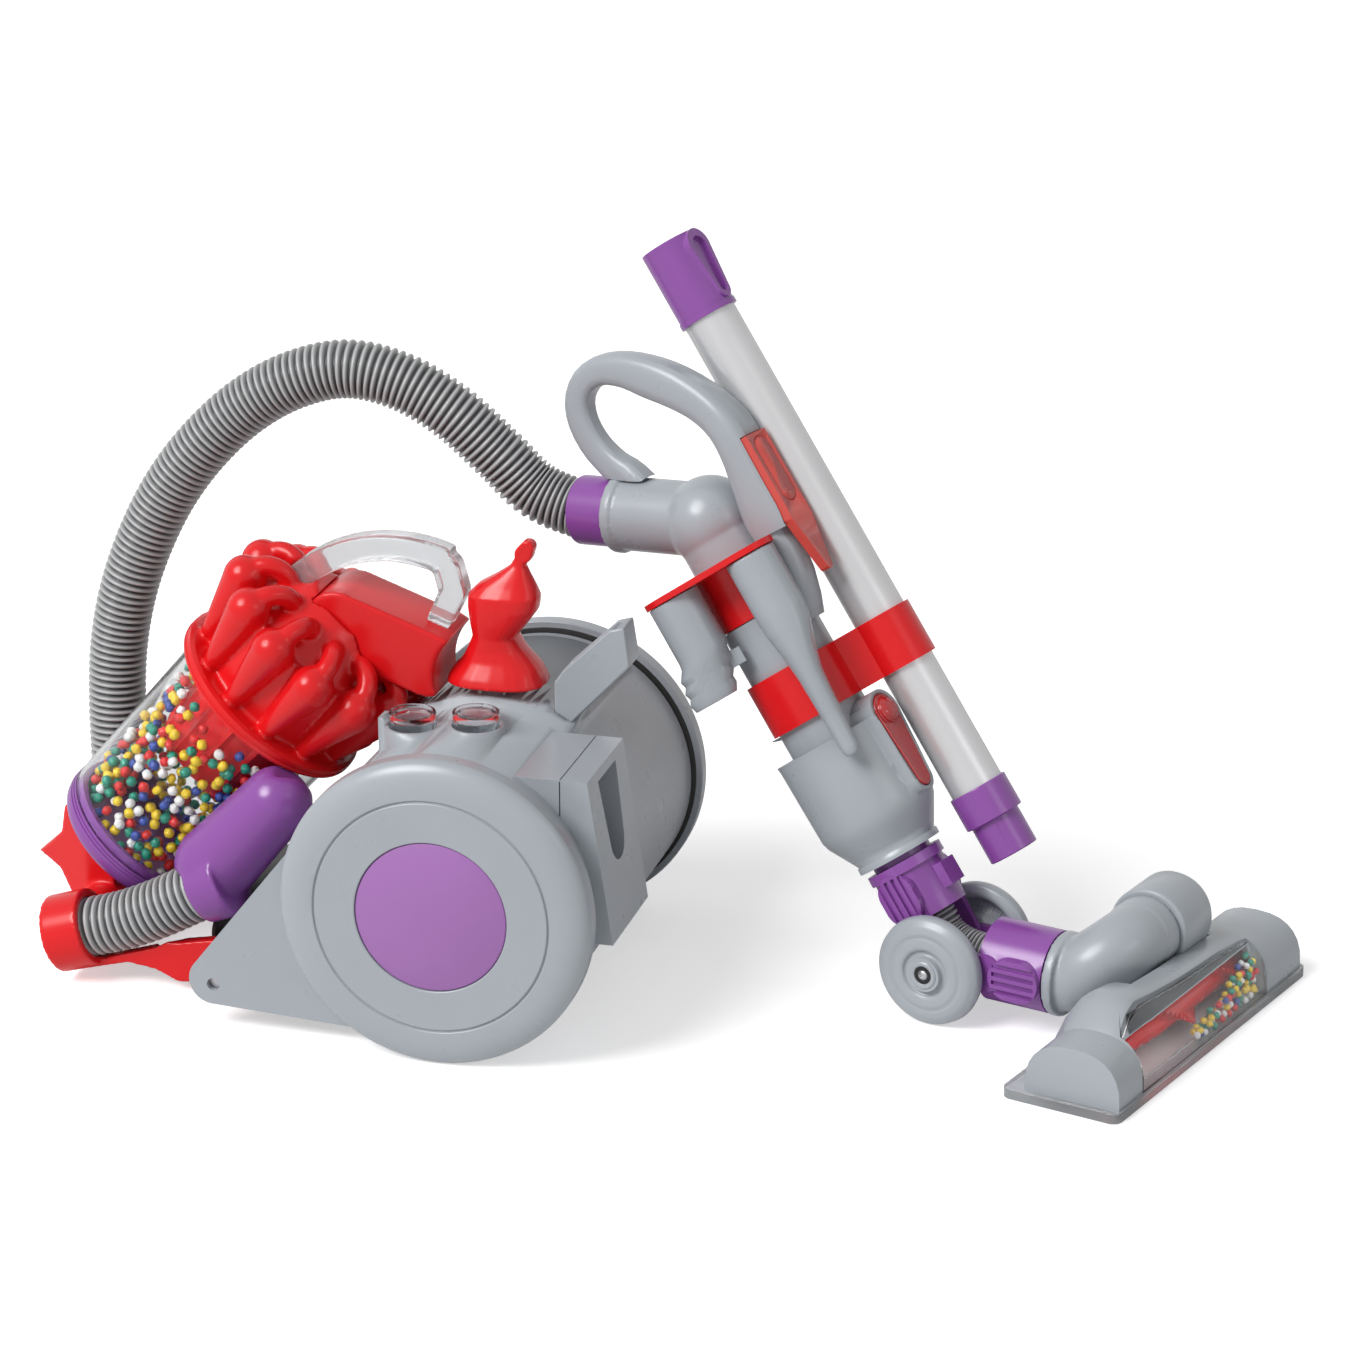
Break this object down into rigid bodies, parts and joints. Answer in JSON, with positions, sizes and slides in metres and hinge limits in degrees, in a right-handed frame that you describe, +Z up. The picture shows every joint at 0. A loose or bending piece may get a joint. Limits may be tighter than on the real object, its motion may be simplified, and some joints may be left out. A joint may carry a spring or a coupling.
{
  "type": "toy vacuum cleaner",
  "caption": "Toy cylinder vacuum with wheeled grey canister, clear bin of beads under a red cyclone crown, ribbed hose, looped handle, clip-on tools and a folding brush head.",
  "frame": {"origin": "on the floor at the middle of the footprint, without the long hose", "axes": "+X from the bin towards the floor head, +Y to the far side, +Z up"},
  "size_m": [0.6184, 0.2307, 0.3546],
  "materials": {
    "grey_plastic": "smooth light grey",
    "purple_plastic": "glossy purple",
    "lilac_disc": "satin lilac",
    "red_plastic": "glossy red",
    "clear_plastic": "clear moulded plastic",
    "red_clear": "translucent red",
    "hose_grey": "ribbed grey",
    "silver_tube": "satin silver",
    "steel": "plain",
    "black_plastic": "plain black",
    "bead_plastic": "mixed bright colours"
  },
  "bodies": {
    "canister": {"lower_housing": "grey_plastic", "upper_housing": "grey_plastic", "near_cheek": "grey_plastic", "far_cheek": "grey_plastic", "wheel_axle": "steel", "roller_pin": "steel", "battery_cover": "grey_plastic", "battery_cells": "black_plastic", "drive_motor": "steel", "power_switch": "black_plastic", "parking_dock": "grey_plastic", "latch_bracket": "grey_plastic", "carry_handle": "clear_plastic", "cyclone_head": "red_plastic", "cyclone_duct": "red_plastic", "dust_bin": "clear_plastic", "bin_base": "purple_plastic", "bin_shroud": "red_plastic", "bin_beads": "bead_plastic", "inlet_elbow": "purple_plastic", "inlet_hose": "hose_grey", "front_base": "red_plastic", "main_hose": "hose_grey", "hose_cuff": "purple_plastic"},
    "near_wheel_body": {"near_wheel": "grey_plastic", "near_wheel_cap": "lilac_disc"},
    "far_wheel_body": {"far_wheel": "grey_plastic", "far_wheel_cap": "lilac_disc"},
    "roller_body": {"front_roller": "black_plastic"},
    "power_button_body": {"power_button": "clear_plastic"},
    "mode_button_body": {"mode_button": "clear_plastic"},
    "lever_body": {"release_lever": "red_plastic"},
    "fan_body": {"impeller": "black_plastic"},
    "wand": {"handle_elbow": "grey_plastic", "grip_near": "grey_plastic", "grip_far": "grey_plastic", "wand_sleeve": "grey_plastic", "bell_collar": "grey_plastic", "tool_clip": "red_plastic", "tube_clip": "red_plastic", "upper_yoke": "purple_plastic", "neck_bellows": "hose_grey"},
    "trigger_body": {"trigger": "red_clear"},
    "release_button_body": {"release_button": "red_clear"},
    "crevice_body": {"crevice_tool": "grey_plastic"},
    "short_body": {"short_tool": "grey_plastic"},
    "tube_body": {"extension_tube": "silver_tube", "tube_top_sleeve": "purple_plastic", "tube_bottom_sleeve": "purple_plastic"},
    "lower_neck": {"lower_yoke": "purple_plastic"},
    "near_neck_wheel_body": {"near_neck_wheel": "grey_plastic"},
    "far_neck_wheel_body": {"far_neck_wheel": "grey_plastic"},
    "head_pipe": {"head_elbow": "grey_plastic"},
    "head": {"head_shell": "grey_plastic", "head_barrel": "grey_plastic", "head_window": "clear_plastic", "sole_plate": "clear_plastic", "head_beads": "bead_plastic"},
    "brush_body": {"brush_roller": "red_clear"}
  },
  "joints": [
    {"name": "near_wheel_spin", "type": "hinge", "parent": "canister", "child": "near_wheel_body", "pos_m": [-0.0672, -0.1072, 0.075], "axis": [0, 1, 0], "continuous": true},
    {"name": "far_wheel_spin", "type": "hinge", "parent": "canister", "child": "far_wheel_body", "pos_m": [-0.0672, 0.1008, 0.075], "axis": [0, 1, 0], "continuous": true},
    {"name": "front_roller_spin", "type": "hinge", "parent": "canister", "child": "roller_body", "pos_m": [-0.1812, -0.0032, 0.022], "axis": [0, 1, 0], "continuous": true},
    {"name": "power_button_press", "type": "slide", "parent": "canister", "child": "power_button_body", "axis": [0, 0, -1], "range_m": [0, 0.003], "stiffness_N_per_m": 300},
    {"name": "mode_button_press", "type": "slide", "parent": "canister", "child": "mode_button_body", "axis": [0, 0, -1], "range_m": [0, 0.003], "stiffness_N_per_m": 300},
    {"name": "lever_tilt", "type": "hinge", "parent": "canister", "child": "lever_body", "pos_m": [-0.0672, -0.0032, 0.157], "axis": [0, 1, 0], "range_deg": [0, 10], "stiffness_Nm_per_rad": 0.3},
    {"name": "fan_spin", "type": "hinge", "parent": "canister", "child": "fan_body", "pos_m": [-0.1012, 0.0458, 0.075], "axis": [0, 1, 0], "continuous": true},
    {"name": "wand_swivel", "type": "hinge", "parent": "canister", "child": "wand", "pos_m": [0.02062, 0.05956, 0.21995], "axis": [-0.9527, 0.2913, -0.0872], "range_deg": [-30, 30]},
    {"name": "trigger_press", "type": "slide", "parent": "wand", "child": "trigger_body", "axis": [-0.7785, 0.238, -0.5807], "range_m": [0, 0.003], "stiffness_N_per_m": 400},
    {"name": "release_button_press", "type": "slide", "parent": "wand", "child": "release_button_body", "axis": [-0.7785, 0.238, -0.5807], "range_m": [0, 0.002], "stiffness_N_per_m": 400},
    {"name": "crevice_tool_slide", "type": "slide", "parent": "wand", "child": "crevice_body", "axis": [0.5553, -0.1698, -0.8141], "range_m": [0, 0.012]},
    {"name": "short_tool_slide", "type": "slide", "parent": "wand", "child": "short_body", "axis": [0.5553, -0.1698, -0.8141], "range_m": [0, 0.018]},
    {"name": "tube_slide", "type": "slide", "parent": "wand", "child": "tube_body", "axis": [-0.5553, 0.1698, 0.8141], "range_m": [0, 0.06]},
    {"name": "neck_fold", "type": "hinge", "parent": "wand", "child": "lower_neck", "pos_m": [0.15224, 0.01933, 0.027], "axis": [0.2924, 0.9563, 0], "range_deg": [-25, 30], "deforming": ["neck_bellows"]},
    {"name": "near_neck_wheel_spin", "type": "hinge", "parent": "lower_neck", "child": "near_neck_wheel_body", "pos_m": [0.14434, -0.00649, 0.027], "axis": [0.2924, 0.9563, 0], "continuous": true},
    {"name": "far_neck_wheel_spin", "type": "hinge", "parent": "lower_neck", "child": "far_neck_wheel_body", "pos_m": [0.16013, 0.04515, 0.027], "axis": [0.2924, 0.9563, 0], "continuous": true},
    {"name": "head_twist", "type": "hinge", "parent": "lower_neck", "child": "head_pipe", "pos_m": [0.20483, 0.00325, 0.029], "axis": [0.9563, -0.2924, 0], "range_deg": [-20, 20]},
    {"name": "head_tilt", "type": "hinge", "parent": "head_pipe", "child": "head", "pos_m": [0.24397, 0.03206, 0.045], "axis": [0.2924, 0.9563, 0], "range_deg": [-15, 1]},
    {"name": "brush_spin", "type": "hinge", "parent": "head", "child": "brush_body", "pos_m": [0.25754, 0.00805, 0.014], "axis": [0.2924, 0.9563, 0], "continuous": true}
  ]
}
